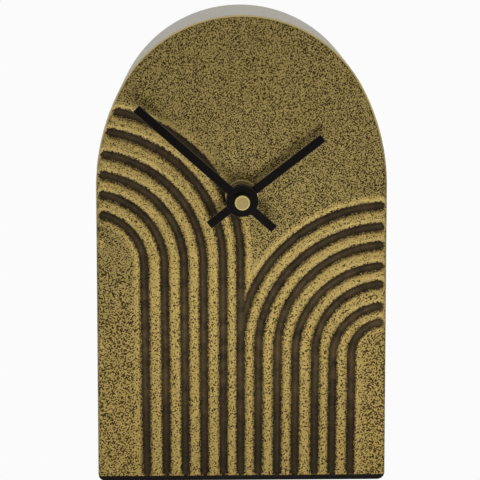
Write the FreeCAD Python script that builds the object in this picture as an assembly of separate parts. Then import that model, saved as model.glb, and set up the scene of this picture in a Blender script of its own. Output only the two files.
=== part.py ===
import FreeCAD, Part
import math
import os

# An arch-topped table clock: a hollow metal casting with grooves in its front, a quartz
# movement clamped behind the front wall, plain baton hands, and a flat plate at the back.
# Millimetres. The origin is the middle of the base on the table, the front faces -Y, +Z is up.

# Casting: outline of the front, measured above its own base
case_width = 150.0
case_height = 250.0
case_depth = 60.0
arch_height = 90.0
shoulder_share = 1.4667
base_flare = 1.84
draft = 2.1
corner_radius = 4.0
edge_round = 1.8
side_wall = 4.0
front_wall = 5.0
overrun = 1.0

# Grooves: two families of quarter arcs that run on as straight grooves to the base.
# Their arcs start at heights counted down from where the arch starts.
groove_radius = 2.6
groove_depth = 1.5
groove_pitch = 10.0
groove_axis_x = -0.6
groove_edge_gap = 1.3
left_centre_out = 4.0
left_spring_drop = 40.5
right_centre_out = 0.5
right_spring_drop = 86.5
left_run_shares = (0.0, 0.91, 1.93, 2.93, 3.95, 5.0)
left_lift_shares = (0.45, 0.25, 0.07, 0.0, 0.0, 0.0)
right_run_shares = (0.0, 0.94, 1.94, 2.89, 3.93, 4.86, 5.85)
right_lift_shares = (0.16, 0.0, 0.0, -0.17, -0.1, -0.38, -0.25)

# Back plate, its rebate, its four screws and the cast bosses that take them
plate_thick = 2.5
rebate_lip = 2.2
plate_clearance = 0.3
window_width = 76.0
window_height = 84.0
window_corner = 10.0
window_drop = 2.0
boss_radius = 4.5
boss_bury = 2.5
boss_angle = 45.0
screw_radius = 1.5
screw_length = 12.0
screw_head_radius = 2.9
screw_head_depth = 1.6
screw_clearance = 0.05
recess_width = 0.7
recess_length = 3.2
recess_depth = 0.9

# Felt pad under the base
pad_thick = 1.2
pad_inset = 5.0
pad_corner = 5.0

# Hands and what holds them, as distances out from the front face. The hands turn a little
# below the height where the arch starts.
hands_drop = 3.0
bush_radius = 4.0
bush_wall = 1.45
bush_reach = 6.2
hole_clearance = 0.25
washer_radius = 8.4
washer_thick = 1.0
nut_flats = 13.0
nut_sides = 6
nut_thick = 2.8
nut_chamfer = 0.5
gasket_radius = 14.0
gasket_thick = 1.0
hand_width = 4.4
hand_thick = 0.7
hub_radius = 8.2
hour_hand_length = 52.0
hour_hand_tail = 21.5
hour_hand_angle = 52.0
hour_hand_out = 9.2
minute_hand_length = 71.6
minute_hand_tail = 22.0
minute_hand_angle = -48.0
minute_hand_out = 12.3
cap_radius = 3.9
cap_thick = 4.2
cap_chamfer = 0.4
cap_skin = 1.2
hand_fit = 0.01
running_gap = 0.05
pipe_wall = 0.85
pipe_stand = 0.3
arbor_end_radius = 1.35

# Movement: housing, layers of wheels from front to back, and the battery bay
skin = 1.5
front_skin = 1.6
movement_depth = 16.0
cover_thick = 1.5
cover_clearance = 0.15
wheel_thick = 0.8
pinion_thick = 1.0
layer_gap = 0.6
bridge_thick = 1.2
bridge_clearance = 0.6
room_down = 10.5
room_gap = 1.1
post_radius = 1.5
post_inset = 2.2
partition = 1.0
battery_radius = 7.25
battery_length = 50.5
battery_nub_radius = 2.7
battery_nub_length = 1.3
battery_round = 0.6
bay_clearance = 0.35
bay_floor = 1.0
contact_thick = 0.3
contact_width = 8.0
contact_lead = 2.0
contact_notch_gap = 0.15
leaf_bow = 1.9
leaf_length = 10.0

# Layers of wheels, counted from the front, and teeth and distances between centres
layer_count = 6
hour_layer, motion_layer, centre_layer, third_layer, seconds_layer, first_layer = range(layer_count)
motion_distance = 9.0
motion_angle = 180.0
cannon_teeth = 12
motion_teeth = 36
motion_pinion_teeth = 12
hour_teeth = 48
knob_teeth = 12
knob_angle = 115.0
train_distance = 9.6
third_angle = 100.0
seconds_pinion_teeth = 10
third_teeth = 75
third_pinion_teeth = 10
centre_teeth = 80
first_distance = 10.2
first_angle = 20.0
first_pinion_teeth = 12
seconds_teeth = 60
rotor_distance = 10.5
rotor_angle = 60.0
rotor_pinion_teeth = 10
first_teeth = 60
tooth_root_share = 0.95
tooth_tip_share = 0.72
tooth_root_width_share = 0.25
tooth_pitch_width_share = 0.21
tooth_tip_width_share = 0.11
arbor_radius = 0.6
pivot_radius = 0.35
pivot_length = 0.9
shake = 0.15
stud_radius = 0.8
hub_wall = 0.55
cannon_arbor_radius = 1.2

# Setting knob, outside the movement's rear cover
knob_radius = 5.0
knob_thick = 3.0
knob_stand = 0.5
knob_flutes = 20
knob_flute_radius = 0.5
knob_stem_radius = 1.0

# Stepping motor
magnet_radius = 2.4
magnet_thick = 1.4
stator_gap = 0.4
stator_rim = 1.8
stator_thick = 0.8
stator_bar = 4.0
stator_bar_rise = 0.6
stator_reach_left = 12.0
stator_reach_right = 22.0
core_thick = 1.0
core_width = 3.0
coil_height = 22.0
bobbin_radius = 3.4
bobbin_barrel = 2.1
bobbin_flange = 0.8
winding_radius = 3.1
winding_clearance = 0.02

# Circuit board and what sits on it
board_thick = 0.8
board_edge = 1.5
board_low_top = 4.0
board_left = 4.0
board_top = 17.2
chip_size = 4.0
chip_thick = 0.9
chip_x = 8.0
chip_z = -3.0
crystal_radius = 0.75
crystal_length = 6.0
crystal_x = 17.0
crystal_z = -6.0

# Places worked out from the sizes above
base_z = pad_thick
face_y = -case_depth / 2
rear_y = case_depth / 2
arch_spring = case_height - arch_height
arch_over = arch_height - case_width / 2
shoulder_radius = arch_height + shoulder_share * arch_over
crown_radius = case_width / 2 - arch_over / (2 * shoulder_share)
crown_rise = arch_height - crown_radius
spring_z = base_z + arch_spring
axis_z = spring_z - hands_drop
plate_y = rear_y - plate_thick
inner_y = face_y + front_wall
movement_y = inner_y + gasket_thick
room_y = movement_y + front_skin
layer_pitch = wheel_thick + layer_gap
bridge_y = room_y + layer_gap + layer_count * layer_pitch
board_y = bridge_y + bridge_thick
movement_rear_y = movement_y + movement_depth
cover_y = movement_rear_y - cover_thick
room_half = (battery_length + leaf_bow) / 2 + contact_thick
movement_half = room_half + skin
room_up = coil_height + bobbin_radius + room_gap
bay_height = 2 * (battery_radius + bay_clearance)
bay_top = room_down + partition
movement_down = bay_top + bay_height + skin
battery_y = movement_y + bay_floor + bay_clearance + battery_radius
battery_z = axis_z - bay_top - bay_height / 2
pipe_radius = bush_radius - bush_wall - running_gap
arbor_front_radius = pipe_radius - pipe_wall - running_gap
boss_inset = draft + side_wall + boss_radius - boss_bury


def vec(x, y, z):
    return FreeCAD.Vector(x, y, z)


def rod(radius, y_start, y_end, x=0, z=axis_z):
    return Part.makeCylinder(radius, y_end - y_start, vec(x, y_start, z), vec(0, 1, 0))


def tube(radius, bore, y_start, y_end, x=0, z=axis_z):
    outer = rod(radius, y_start, y_end, x, z)
    return outer.cut(rod(bore, y_start - overrun, y_end + overrun, x, z))


def block(x_low, x_high, y_low, y_high, z_low, z_high):
    corner = vec(x_low, y_low, z_low)
    return Part.makeBox(x_high - x_low, y_high - y_low, z_high - z_low, corner)


def polar(radius, degrees):
    turn = math.radians(degrees)
    return radius * math.cos(turn), radius * math.sin(turn)


def save(shape, name):
    shape = shape.removeSplitter()
    if len(shape.Solids) == 1:
        shape = shape.Solids[0]
    if not shape.isValid():
        raise ValueError(name + " is not a valid solid")
    shape.exportStep("parts/" + name + ".step")


def arch_outline(y, inset, floor):
    """Closed outline of the arch at depth y, drawn in by inset, with its foot at height floor."""
    half = case_width / 2 - inset
    shoulder = shoulder_radius - inset
    side_x = half - shoulder
    join = math.atan2(1 + 1 / (2 * shoulder_share), 1 + shoulder_share)
    foot_x = half + base_flare
    reach_x = foot_x - side_x
    reach_z = base_z - spring_z
    reach = math.hypot(reach_x, reach_z)
    start = math.atan2(reach_z, reach_x) + math.acos(shoulder / reach)
    tangent_x = side_x + shoulder * math.cos(start)
    tangent_z = spring_z + shoulder * math.sin(start)
    slope = (foot_x - tangent_x) / (tangent_z - base_z)
    corner_x = foot_x - slope * (floor - base_z)
    lean = math.atan(slope)
    setback = corner_radius / math.tan((math.pi / 2 - lean) / 2)
    low = (corner_x - setback, floor)
    high = (corner_x - setback * math.sin(lean), floor + setback * math.cos(lean))
    centre = (low[0], floor + corner_radius)
    away = math.hypot(corner_x - centre[0], floor - centre[1])
    bend = (centre[0] + corner_radius * (corner_x - centre[0]) / away,
            centre[1] + corner_radius * (floor - centre[1]) / away)
    middle = (start + join) / 2
    shoulder_mid = (side_x + shoulder * math.cos(middle), spring_z + shoulder * math.sin(middle))
    shoulder_end = (side_x + shoulder * math.cos(join), spring_z + shoulder * math.sin(join))
    crown_top = (0, spring_z + crown_rise + crown_radius - inset)

    def right(point):
        return vec(point[0], y, point[1])

    def left(point):
        return vec(-point[0], y, point[1])

    tangent = (tangent_x, tangent_z)
    edges = [
        Part.LineSegment(left(low), right(low)),
        Part.Arc(right(low), right(bend), right(high)),
        Part.LineSegment(right(high), right(tangent)),
        Part.Arc(right(tangent), right(shoulder_mid), right(shoulder_end)),
        Part.Arc(right(shoulder_end), right(crown_top), left(shoulder_end)),
        Part.Arc(left(shoulder_end), left(shoulder_mid), left(tangent)),
        Part.LineSegment(left(tangent), left(high)),
        Part.Arc(left(high), left(bend), left(low)),
    ]
    return Part.Wire([edge.toShape() for edge in edges])


def drawn_in(y):
    """How much smaller the casting is at depth y than at its front, on every side."""
    return draft * (y - face_y) / case_depth


def arch_loft(y_start, y_end, inset, floor):
    first = arch_outline(y_start, inset + drawn_in(y_start), floor)
    last = arch_outline(y_end, inset + drawn_in(y_end), floor)
    return Part.makeLoft([first, last], True, True)


def half_width_at(height):
    """Half width of the front outline at a height above the casting's base."""
    if height <= arch_spring:
        return case_width / 2 + base_flare * (arch_spring - height) / arch_spring
    over = height - arch_spring
    reach = math.sqrt(shoulder_radius * shoulder_radius - over * over)
    return reach - (shoulder_radius - case_width / 2)


def boss_places():
    high_x, high_z = polar(crown_radius - boss_inset, boss_angle)
    low_x = case_width / 2 - boss_inset
    low_z = base_z + boss_inset
    top_z = spring_z + crown_rise + high_z
    return [(-low_x, low_z), (low_x, low_z), (-high_x, top_z), (high_x, top_z)]


def groove(run_x, spring, centre_x, end_x, has_run):
    """Round-bottomed groove: a straight run up from the base, then an arc out to the side."""
    y = face_y - (groove_radius - groove_depth)
    radius = abs(run_x - centre_x)
    side = 1 if run_x > centre_x else -1
    end_turn = math.acos(abs(end_x - centre_x) / radius)
    foot_z = base_z + edge_round + groove_edge_gap + groove_half_width()

    def on_arc(turn):
        return vec(centre_x + side * radius * math.cos(turn), y,
                   spring + radius * math.sin(turn))

    arc_start = on_arc(0)
    arc_end = on_arc(end_turn)
    edges = [Part.Arc(arc_start, on_arc(end_turn / 2), arc_end).toShape()]
    start = arc_start
    if has_run:
        start = vec(run_x, y, foot_z)
        edges.insert(0, Part.LineSegment(start, arc_start).toShape())
    section = Part.Wire([Part.makeCircle(groove_radius, start, vec(0, 0, 1))])
    sweep = Part.Wire(edges).makePipeShell([section], True, False)
    first_ball = Part.makeSphere(groove_radius, start)
    last_ball = Part.makeSphere(groove_radius, arc_end)
    return sweep.fuse([first_ball, last_ball])


def groove_half_width():
    sunk = groove_radius - groove_depth
    return math.sqrt(groove_radius * groove_radius - sunk * sunk)


def all_grooves():
    cuts = []
    in_from_edge = groove_edge_gap + groove_half_width()
    left_centre = -(case_width / 2 + left_centre_out)
    for run, lift in zip(left_run_shares, left_lift_shares):
        run_x = groove_axis_x - run * groove_pitch
        spring = arch_spring - left_spring_drop + lift * groove_pitch
        top = spring + run_x - left_centre
        end_x = in_from_edge - half_width_at(top)
        cuts.append(groove(run_x, base_z + spring, left_centre, end_x, True))
    right_centre = case_width / 2 + right_centre_out
    for run, lift in zip(right_run_shares, right_lift_shares):
        run_x = groove_axis_x + run * groove_pitch
        spring = arch_spring - right_spring_drop + lift * groove_pitch
        top = spring + right_centre - run_x
        end_x = half_width_at(top) - in_from_edge
        cuts.append(groove(run_x, base_z + spring, right_centre, end_x, run > 0))
    return cuts


def make_case_shell():
    outer = arch_loft(face_y, rear_y, 0, base_z)
    front_edges = [edge for edge in outer.Edges
                   if all(abs(v.Y - face_y) < running_gap for v in edge.Vertexes)]
    outer = outer.makeFillet(edge_round, front_edges)
    cavity = arch_loft(inner_y, rear_y + overrun, side_wall, base_z + side_wall)
    shell = outer.cut(cavity)
    bosses = [rod(boss_radius, inner_y - overrun, plate_y, x, z) for x, z in boss_places()]
    shell = shell.fuse(bosses)
    rebate = arch_outline(plate_y, draft + rebate_lip, base_z + rebate_lip)
    rebate_cut = Part.Face(rebate).extrude(vec(0, plate_thick + overrun, 0))
    pilots = [rod(screw_radius + screw_clearance, plate_y - screw_length, plate_y + overrun, x, z)
              for x, z in boss_places()]
    bush_hole = rod(bush_radius + hole_clearance, face_y - overrun, inner_y + overrun)
    shell = shell.cut([rebate_cut, bush_hole] + pilots)
    shell = shell.cut(all_grooves())
    save(shell, "case_shell")


def make_back_plate():
    inset = draft + rebate_lip + plate_clearance
    outline = arch_outline(plate_y, inset, base_z + rebate_lip + plate_clearance)
    plate = Part.Face(outline).extrude(vec(0, plate_thick, 0))
    middle = axis_z - window_drop
    window = block(-window_width / 2, window_width / 2, plate_y - overrun, rear_y + overrun,
                   middle - window_height / 2, middle + window_height / 2)
    upright = [edge for edge in window.Edges if edge.Vertexes[0].Point.x == edge.Vertexes[1].Point.x
               and edge.Vertexes[0].Point.z == edge.Vertexes[1].Point.z]
    window = window.makeFillet(window_corner, upright)
    plate = plate.cut(window)
    holes = []
    for x, z in boss_places():
        holes.append(rod(screw_radius + screw_clearance, plate_y - overrun, rear_y, x, z))
        holes.append(screw_head(x, z, screw_clearance))
    plate = plate.cut(holes)
    save(plate, "back_plate")


def screw_head(x, z, spare):
    start = vec(x, rear_y - screw_head_depth, z)
    return Part.makeCone(screw_radius + spare, screw_head_radius + spare, screw_head_depth,
                         start, vec(0, 1, 0))


def make_back_plate_screws():
    screws = []
    for x, z in boss_places():
        shank = rod(screw_radius, rear_y - screw_length, rear_y - screw_head_depth, x, z)
        screw = shank.fuse(screw_head(x, z, 0))
        for width, length in ((recess_width, recess_length), (recess_length, recess_width)):
            slot = block(x - width / 2, x + width / 2, rear_y - recess_depth, rear_y + overrun,
                         z - length / 2, z + length / 2)
            screw = screw.cut(slot)
        screws.append(screw.removeSplitter())
    save(Part.makeCompound(screws), "back_plate_screws")


def make_base_pad():
    half = case_width / 2 - draft + base_flare - pad_inset
    pad = block(-half, half, face_y + pad_inset, rear_y - pad_inset, 0, pad_thick)
    upright = [edge for edge in pad.Edges if abs(edge.BoundBox.ZLength - pad_thick) < running_gap]
    save(pad.makeFillet(pad_corner, upright), "base_pad")


def make_dial_washer():
    washer = tube(washer_radius, bush_radius + hole_clearance, face_y - washer_thick, face_y)
    save(washer, "dial_washer")


def make_bush_nut():
    front = face_y - washer_thick - nut_thick
    corner = nut_flats / (2 * math.cos(math.pi / nut_sides))
    points = []
    for step in range(nut_sides + 1):
        x, z = polar(corner, step * 360 / nut_sides)
        points.append(vec(x, front, axis_z + z))
    hexagon = Part.Face(Part.makePolygon(points)).extrude(vec(0, nut_thick, 0))
    cone = Part.makeCone(nut_flats / 2, nut_flats / 2 + nut_thick, nut_thick,
                         vec(0, front - nut_chamfer + overrun, axis_z), vec(0, 1, 0))
    face_disc = rod(nut_flats / 2, front, front + overrun)
    round_nut = cone.fuse(face_disc).common(rod(corner, front, front + nut_thick))
    nut = hexagon.common(round_nut)
    nut = nut.cut(rod(bush_radius + hand_fit, front - overrun, face_y))
    save(nut, "bush_nut")


def make_threaded_bush():
    front = face_y - bush_reach
    bush = tube(bush_radius, bush_radius - bush_wall, front, room_y)
    save(bush, "threaded_bush")


def make_seal_gasket():
    gasket = tube(gasket_radius, bush_radius + hole_clearance, inner_y, movement_y)
    save(gasket, "seal_gasket")


def make_hand(name, length, tail, degrees, out, bore):
    front = face_y - out - hand_thick
    blade = block(-hand_width / 2, hand_width / 2, front, front + hand_thick,
                  axis_z - tail, axis_z + length)
    hub = rod(hub_radius, front, front + hand_thick)
    hand = blade.fuse(hub).cut(rod(bore, front - overrun, front + hand_thick + overrun))
    hand.rotate(vec(0, 0, axis_z), vec(0, 1, 0), degrees)
    save(hand, name)


def make_hand_nut():
    back = face_y - minute_hand_out - hand_thick
    front = back - cap_thick
    cap = rod(cap_radius, front, back)
    rim = [edge for edge in cap.Edges if abs(edge.BoundBox.YMax - front) < running_gap]
    cap = cap.makeChamfer(cap_chamfer, rim)
    cap = cap.cut(rod(arbor_end_radius + hand_fit, front + cap_skin, back + overrun))
    save(cap, "hand_nut")


def layer_middle(layer):
    return room_y + layer_gap + wheel_thick / 2 + layer * layer_pitch


def module(distance, teeth, other_teeth):
    return 2 * distance / (teeth + other_teeth)


def gear(teeth, size, layer, thick, phase, x, z):
    """Toothed disc of a given module on one layer, with its phase as an angle in radians."""
    pitch_radius = teeth * size / 2
    root = pitch_radius - tooth_root_share * size
    tip = pitch_radius + tooth_tip_share * size
    front = layer_middle(layer) - thick / 2
    step = 2 * math.pi / teeth
    flank = ((root, -tooth_root_width_share), (pitch_radius, -tooth_pitch_width_share),
             (tip, -tooth_tip_width_share), (tip, tooth_tip_width_share),
             (pitch_radius, tooth_pitch_width_share), (root, tooth_root_width_share))
    points = []
    for tooth in range(teeth):
        for radius, share in flank:
            turn = phase + (tooth + share) * step
            points.append(vec(x + radius * math.cos(turn), front, z + radius * math.sin(turn)))
    points.append(points[0])
    return Part.Face(Part.makePolygon(points)).extrude(vec(0, thick, 0))


def meshed(phase, teeth, other_teeth, degrees):
    """Phase of a gear that meshes with one of the given phase, lying in the given direction."""
    turn = math.radians(degrees)
    return turn + math.pi - ((phase - turn) * teeth + math.pi) / other_teeth


def place(distance, degrees, start=(0, axis_z)):
    x, z = polar(distance, degrees)
    return start[0] + x, start[1] + z


motion_place = place(motion_distance, motion_angle)
knob_place = place(motion_distance, knob_angle, motion_place)
third_place = place(train_distance, third_angle)
first_place = place(first_distance, first_angle)
rotor_place = place(rotor_distance, rotor_angle, first_place)
motion_module = module(motion_distance, cannon_teeth, motion_teeth)
hour_module = module(motion_distance, motion_pinion_teeth, hour_teeth)
third_module = module(train_distance, seconds_pinion_teeth, third_teeth)
centre_module = module(train_distance, third_pinion_teeth, centre_teeth)
seconds_module = module(first_distance, first_pinion_teeth, seconds_teeth)
rotor_module = module(rotor_distance, rotor_pinion_teeth, first_teeth)


def arbor(x, z):
    """Arbor between the front skin and the bridge, with a pivot in each."""
    body = rod(arbor_radius, room_y + shake, bridge_y - shake, x, z)
    pivots = rod(pivot_radius, room_y - pivot_length, bridge_y + pivot_length, x, z)
    return body.fuse(pivots)


def make_minute_arbor():
    front = face_y - minute_hand_out - hand_thick - cap_thick + cap_skin
    shoulder = face_y - minute_hand_out
    cannon = gear(cannon_teeth, motion_module, motion_layer, pinion_thick, 0, 0, axis_z)
    rear = layer_middle(centre_layer) + wheel_thick / 2 + shake
    pieces = [rod(arbor_front_radius, shoulder, layer_middle(motion_layer)),
              rod(cannon_arbor_radius, layer_middle(motion_layer), rear),
              rod(arbor_end_radius, front, shoulder)]
    solid = cannon.fuse(pieces)
    seat = rod(pivot_radius + running_gap, rear - pivot_length - shake, rear + overrun)
    save(solid.cut(seat), "minute_arbor")


def make_hour_wheel():
    phase = meshed(0, motion_pinion_teeth, hour_teeth, motion_angle + 180)
    wheel = gear(hour_teeth, hour_module, hour_layer, wheel_thick, phase, 0, axis_z)
    front = face_y - hour_hand_out - hand_thick - pipe_stand
    pipe = rod(pipe_radius, front, layer_middle(hour_layer))
    bore = rod(pipe_radius - pipe_wall, front - overrun, layer_middle(motion_layer))
    save(wheel.fuse(pipe).cut(bore), "hour_wheel")


def make_motion_wheel():
    x, z = motion_place
    phase = meshed(0, cannon_teeth, motion_teeth, motion_angle)
    wheel = gear(motion_teeth, motion_module, motion_layer, wheel_thick, phase, x, z)
    pinion = gear(motion_pinion_teeth, hour_module, hour_layer, pinion_thick, 0, x, z)
    hub_bore = stud_radius + running_gap
    hub = rod(hub_bore + hub_wall, layer_middle(hour_layer), layer_middle(motion_layer), x, z)
    bore = rod(hub_bore, room_y, bridge_y, x, z)
    save(wheel.fuse([pinion, hub]).cut(bore), "motion_wheel")


def make_setting_knob():
    x, z = knob_place
    wheel_phase = meshed(0, cannon_teeth, motion_teeth, motion_angle)
    phase = meshed(wheel_phase, motion_teeth, knob_teeth, knob_angle)
    pinion = gear(knob_teeth, motion_module, motion_layer, pinion_thick, phase, x, z)
    head_front = movement_rear_y + knob_stand
    head_rear = head_front + knob_thick
    stem = rod(knob_stem_radius, room_y + shake, head_rear, x, z)
    pivot = rod(pivot_radius, room_y - pivot_length, room_y + layer_gap, x, z)
    head = rod(knob_radius, head_front, head_rear, x, z)
    flutes = []
    for step in range(knob_flutes):
        flute_x, flute_z = polar(knob_radius, step * 360 / knob_flutes)
        flutes.append(rod(knob_flute_radius, head_front - overrun, head_rear + overrun,
                          x + flute_x, z + flute_z))
    head = head.cut(flutes)
    save(pinion.fuse([stem, pivot, head]), "setting_knob")


def make_centre_wheel():
    phase = meshed(0, third_pinion_teeth, centre_teeth, third_angle + 180)
    wheel = gear(centre_teeth, centre_module, centre_layer, wheel_thick, phase, 0, axis_z)
    bore = rod(cannon_arbor_radius + running_gap, room_y, bridge_y)
    save(wheel.cut(bore), "centre_wheel")


def make_third_wheel():
    x, z = third_place
    phase = meshed(0, seconds_pinion_teeth, third_teeth, third_angle)
    wheel = gear(third_teeth, third_module, third_layer, wheel_thick, phase, x, z)
    pinion = gear(third_pinion_teeth, centre_module, centre_layer, pinion_thick, 0, x, z)
    save(wheel.fuse([pinion, arbor(x, z)]), "third_wheel")


def make_seconds_wheel():
    wheel = gear(seconds_teeth, seconds_module, seconds_layer, wheel_thick, 0, 0, axis_z)
    pinion = gear(seconds_pinion_teeth, third_module, third_layer, pinion_thick, 0, 0, axis_z)
    front = layer_middle(centre_layer) + wheel_thick / 2 + shake
    body = rod(arbor_radius, front + shake, bridge_y - shake)
    pivots = rod(pivot_radius, front - pivot_length, bridge_y + pivot_length)
    save(wheel.fuse([pinion, body, pivots]), "seconds_wheel")


def make_first_wheel():
    x, z = first_place
    wheel = gear(first_teeth, rotor_module, first_layer, wheel_thick, 0, x, z)
    phase = meshed(0, seconds_teeth, first_pinion_teeth, first_angle)
    pinion = gear(first_pinion_teeth, seconds_module, seconds_layer, pinion_thick, phase, x, z)
    save(wheel.fuse([pinion, arbor(x, z)]), "first_wheel")


def make_rotor():
    x, z = rotor_place
    phase = meshed(0, first_teeth, rotor_pinion_teeth, rotor_angle)
    pinion = gear(rotor_pinion_teeth, rotor_module, first_layer, pinion_thick, phase, x, z)
    save(pinion.fuse(arbor(x, z)), "rotor_pinion")
    middle = layer_middle(seconds_layer)
    magnet = tube(magnet_radius, arbor_radius + hand_fit, middle - magnet_thick / 2,
                  middle + magnet_thick / 2, x, z)
    save(magnet, "rotor_magnet")


def make_stator():
    front = layer_middle(seconds_layer) - stator_thick / 2
    rear = front + stator_thick
    x, z = rotor_place
    bar_low = z + stator_bar_rise
    bar_high = bar_low + stator_bar
    arm_top = axis_z + coil_height + core_width / 2
    bar = block(-stator_reach_left, stator_reach_right, front, rear, bar_low, bar_high)
    left_arm = block(-stator_reach_left, stator_bar - stator_reach_left, front, rear,
                     bar_low, arm_top)
    right_arm = block(stator_reach_right - stator_bar, stator_reach_right, front, rear,
                      bar_low, arm_top)
    bore = magnet_radius + stator_gap
    ring = rod(bore + stator_rim, front, rear, x, z)
    plate = bar.fuse([left_arm, right_arm, ring])
    save(plate.cut(rod(bore, front - overrun, rear + overrun, x, z)), "stator")
    z_low = axis_z + coil_height - core_width / 2
    core = block(-stator_reach_left, stator_reach_right, rear, rear + core_thick,
                 z_low, z_low + core_width)
    save(core, "coil_core")


def make_coil():
    y = layer_middle(seconds_layer) + stator_thick / 2 + core_thick / 2
    z = axis_z + coil_height
    x_low = stator_bar - stator_reach_left + layer_gap
    x_high = stator_reach_right - stator_bar - layer_gap
    along = vec(1, 0, 0)
    barrel = Part.makeCylinder(bobbin_barrel, x_high - x_low, vec(x_low, y, z), along)
    low_flange = Part.makeCylinder(bobbin_radius, bobbin_flange, vec(x_low, y, z), along)
    high_flange = Part.makeCylinder(bobbin_radius, bobbin_flange,
                                    vec(x_high - bobbin_flange, y, z), along)
    tunnel = block(x_low - overrun, x_high + overrun,
                   y - core_thick / 2 - running_gap, y + core_thick / 2 + running_gap,
                   z - core_width / 2 - running_gap, z + core_width / 2 + running_gap)
    save(barrel.fuse([low_flange, high_flange]).cut(tunnel), "coil_bobbin")
    wound_low = x_low + bobbin_flange + winding_clearance
    wound_high = x_high - bobbin_flange - winding_clearance
    wound = Part.makeCylinder(winding_radius, wound_high - wound_low, vec(wound_low, y, z), along)
    hollow = Part.makeCylinder(bobbin_barrel + winding_clearance, x_high - x_low,
                               vec(x_low, y, z), along)
    save(wound.cut(hollow), "coil_winding")


def post_places():
    x = room_half - post_inset
    low = axis_z - room_down + post_inset
    high = axis_z + board_top - post_inset
    return [(-x, low), (x, low), (-x, high), (x, high)]


def make_movement_case():
    bottom = axis_z - movement_down
    top = axis_z + room_up + skin
    body = block(-movement_half, movement_half, movement_y, movement_rear_y, bottom, top)
    upright = [edge for edge in body.Edges
               if abs(edge.BoundBox.YLength - movement_depth) < running_gap]
    body = body.makeFillet(skin, upright)
    room = block(-room_half, room_half, room_y, movement_rear_y + overrun,
                 axis_z - room_down, axis_z + room_up)
    bay = block(-room_half, room_half, movement_y + bay_floor, movement_rear_y + overrun,
                battery_z - bay_height / 2, battery_z + bay_height / 2)
    bush_hole = rod(bush_radius + hand_fit, movement_y - overrun, room_y + overrun)
    cuts = [room, bay, bush_hole]
    for x, z in (third_place, first_place, rotor_place, knob_place):
        cuts.append(rod(pivot_radius + running_gap, room_y - pivot_length - shake,
                        room_y + overrun, x, z))
    for side in (-1, 1):
        edge = side * (room_half - contact_lead - contact_notch_gap)
        wall = side * room_half
        cuts.append(block(min(edge, wall), max(edge, wall),
                          board_y + board_thick - contact_notch_gap,
                          movement_rear_y + overrun,
                          axis_z - bay_top - overrun, axis_z - room_down + overrun))
    body = body.cut(cuts)
    posts = [rod(post_radius, room_y - skin / 2, bridge_y, x, z) for x, z in post_places()]
    stator_y = layer_middle(seconds_layer) - stator_thick / 2
    for x in (stator_bar / 2 - stator_reach_left, stator_reach_right - stator_bar / 2):
        posts.append(rod(post_radius, room_y - skin / 2, stator_y, x, axis_z + coil_height))
    stud_end = layer_middle(motion_layer) + wheel_thick / 2 + shake
    posts.append(rod(stud_radius, room_y - skin / 2, stud_end, motion_place[0], motion_place[1]))
    save(body.fuse(posts), "movement_case")


def make_movement_cover():
    spare = cover_clearance
    cover = block(spare - room_half, room_half - spare, cover_y, movement_rear_y,
                  axis_z - room_down + spare, axis_z + room_up - spare)
    hole = rod(knob_stem_radius + running_gap, cover_y - overrun, movement_rear_y + overrun,
               knob_place[0], knob_place[1])
    save(cover.cut(hole), "movement_cover")


def make_bridge_plate():
    half = room_half - bridge_clearance
    plate = block(-half, half, bridge_y, bridge_y + bridge_thick,
                  axis_z - room_down + bridge_clearance, axis_z + board_top + bridge_clearance)
    cuts = []
    for x, z in ((0, axis_z), third_place, first_place, rotor_place):
        cuts.append(rod(pivot_radius + running_gap, bridge_y - overrun, board_y + overrun, x, z))
    cuts.append(rod(knob_stem_radius + running_gap, bridge_y - overrun, board_y + overrun,
                    knob_place[0], knob_place[1]))
    save(plate.cut(cuts), "bridge_plate")


def make_circuit_board():
    half = room_half - board_edge
    low = axis_z - room_down + board_edge
    wide = block(-half, half, board_y, board_y + board_thick, low, axis_z + board_low_top)
    tall = block(-board_left, half, board_y, board_y + board_thick, low, axis_z + board_top)
    save(wide.fuse(tall), "circuit_board")
    top = board_y + board_thick
    chip = block(chip_x - chip_size / 2, chip_x + chip_size / 2, top, top + chip_thick,
                 axis_z + chip_z - chip_size / 2, axis_z + chip_z + chip_size / 2)
    save(chip, "timing_chip")
    can = Part.makeCylinder(crystal_radius, crystal_length,
                            vec(crystal_x, top + crystal_radius, axis_z + crystal_z),
                            vec(0, 0, 1))
    save(can, "quartz_crystal")


def contact_plate(side):
    """Contact strip on one end wall of the battery bay, with its lead over the board."""
    wall = side * room_half
    inner = wall - side * contact_thick
    lead = wall - side * contact_lead
    lead_y = board_y + board_thick
    low = battery_z - contact_width / 2
    plate = block(min(wall, inner), max(wall, inner), battery_y - contact_width / 2,
                  lead_y + contact_thick, low, battery_z + bay_height / 2)
    board_low = axis_z - room_down + board_edge
    tongue = block(min(wall, lead), max(wall, lead), lead_y, lead_y + contact_thick,
                   battery_z + battery_radius, board_low + contact_lead)
    return plate.fuse(tongue)


def make_contacts():
    save(contact_plate(1), "positive_contact")
    inner = contact_thick - room_half
    front = battery_y - contact_width / 4
    half = leaf_length / 2
    outer = Part.Arc(vec(inner, front, battery_z - half), vec(inner + leaf_bow, front, battery_z),
                     vec(inner, front, battery_z + half)).toShape()
    low = battery_z - half + contact_thick
    high = battery_z + half - contact_thick
    under = Part.Arc(vec(inner, front, high), vec(inner + leaf_bow - contact_thick, front, battery_z),
                     vec(inner, front, low)).toShape()
    ends = [Part.makeLine(vec(inner, front, battery_z + half), vec(inner, front, high)),
            Part.makeLine(vec(inner, front, low), vec(inner, front, battery_z - half))]
    profile = Part.Wire([outer, ends[0], under, ends[1]])
    leaf = Part.Face(profile).extrude(vec(0, contact_width / 2, 0))
    save(contact_plate(-1).fuse(leaf), "negative_contact")


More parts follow.
